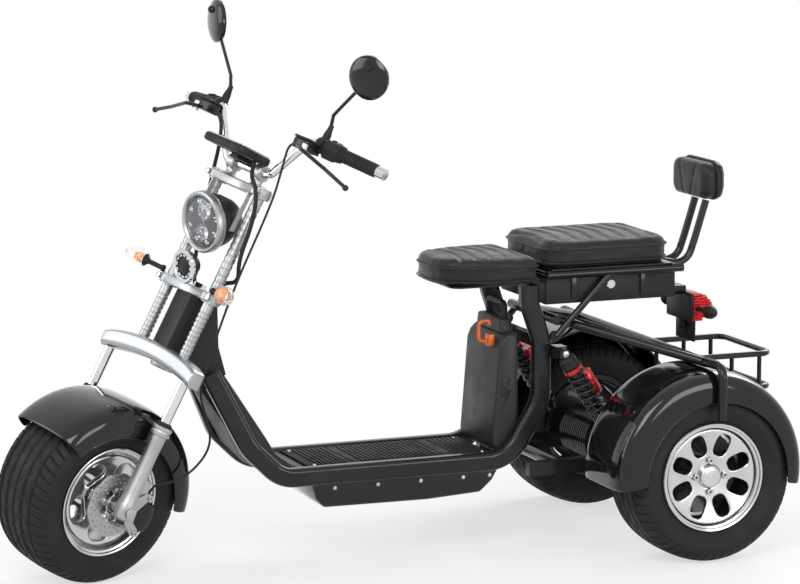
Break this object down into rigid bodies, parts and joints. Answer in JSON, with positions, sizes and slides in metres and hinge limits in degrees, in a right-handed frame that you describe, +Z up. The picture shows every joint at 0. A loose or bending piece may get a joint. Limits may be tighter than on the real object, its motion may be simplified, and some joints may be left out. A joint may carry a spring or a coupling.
{
  "type": "electric scooter",
  "caption": "Open-deck electric scooter on wide tyres with a telescopic front fork, stepped seats, backrest, rear rack, and turning wheels, steering and lifting seat lid.",
  "frame": {"origin": "on the ground, under the centre of the bounding box", "axes": "+X towards the front wheel, +Y to the rider's left, +Z up"},
  "size_m": [2.1239, 1.032, 1.447],
  "materials": {
    "tyre_rubber": "worn satin",
    "cast_alloy": "polished cast",
    "silver_paint": "satin silver",
    "bright_steel": "polished",
    "disc_steel": "brushed",
    "black_steel": "gloss black",
    "black_gloss": "high gloss",
    "black_plastic": "fine grain",
    "charcoal_plastic": "fine grain",
    "soft_black": "satin",
    "seat_leather": "stitched leatherette",
    "clear_lens": "clear",
    "amber_lens": "clear over amber",
    "red_lens": "clear red",
    "motor_black": "satin black"
  },
  "bodies": {
    "chassis": {"frame_rails": "black_steel", "neck_cover": "black_plastic", "leg_shield": "black_plastic", "belly_cover": "black_gloss", "deck_mat": "soft_black", "battery_case": "charcoal_plastic", "seat_pan": "black_steel", "driver_seat": "seat_leather", "seat_frame": "black_steel", "storage_box": "black_plastic", "backrest_shell": "black_plastic", "backrest_pad": "seat_leather", "fender_tubes": "black_steel", "rear_fender_left": "black_gloss", "rear_fender_right": "black_gloss", "swingarm": "black_steel", "drive_motor": "motor_black", "shock_absorbers": "black_steel", "luggage_rack": "black_steel", "tail_lamp": "red_lens"},
    "steering": {"fork_legs": "silver_paint", "fork_tubes": "silver_paint", "fork_arch": "silver_paint", "fork_clamps": "silver_paint", "steering_stem": "bright_steel", "handlebar": "bright_steel", "grips": "soft_black", "hand_controls": "black_plastic", "brake_levers": "black_steel", "mirrors": "black_gloss", "headlight_shell": "bright_steel", "headlight_lens": "clear_lens", "lamp_bracket": "silver_paint", "horn": "bright_steel", "front_signals": "amber_lens", "display_panel": "black_plastic", "front_fender": "black_gloss", "brake_calliper": "black_steel"},
    "front_wheel": {"front_tyre": "tyre_rubber", "front_rim": "cast_alloy", "brake_disc": "disc_steel"},
    "rear_wheel_left": {"rear_tyre_left": "tyre_rubber", "rear_rim_left": "cast_alloy"},
    "rear_wheel_right": {"rear_tyre_right": "tyre_rubber", "rear_rim_right": "cast_alloy"},
    "passenger_lid": {"passenger_seat": "seat_leather", "seat_lid": "black_steel"}
  },
  "joints": [
    {"name": "steer", "type": "hinge", "parent": "chassis", "child": "steering", "pos_m": [0.78557, 0, 0.21061], "axis": [-0.4587, 0, 0.8886], "range_deg": [-53.1, 10.9]},
    {"name": "front_wheel_spin", "type": "hinge", "parent": "steering", "child": "front_wheel", "pos_m": [0.82702, 0.018, 0.232], "axis": [-0.3199, 0.933, -0.1651], "continuous": true},
    {"name": "rear_left_spin", "type": "hinge", "parent": "chassis", "child": "rear_wheel_left", "pos_m": [-0.73, 0.371, 0.227], "axis": [0, 1, 0], "continuous": true},
    {"name": "rear_right_spin", "type": "hinge", "parent": "chassis", "child": "rear_wheel_right", "pos_m": [-0.73, -0.371, 0.227], "axis": [0, 1, 0], "continuous": true},
    {"name": "lid_hinge", "type": "hinge", "parent": "chassis", "child": "passenger_lid", "pos_m": [-0.57, -0.173, 0.746], "axis": [1, 0, 0], "range_deg": [0, 80]}
  ]
}
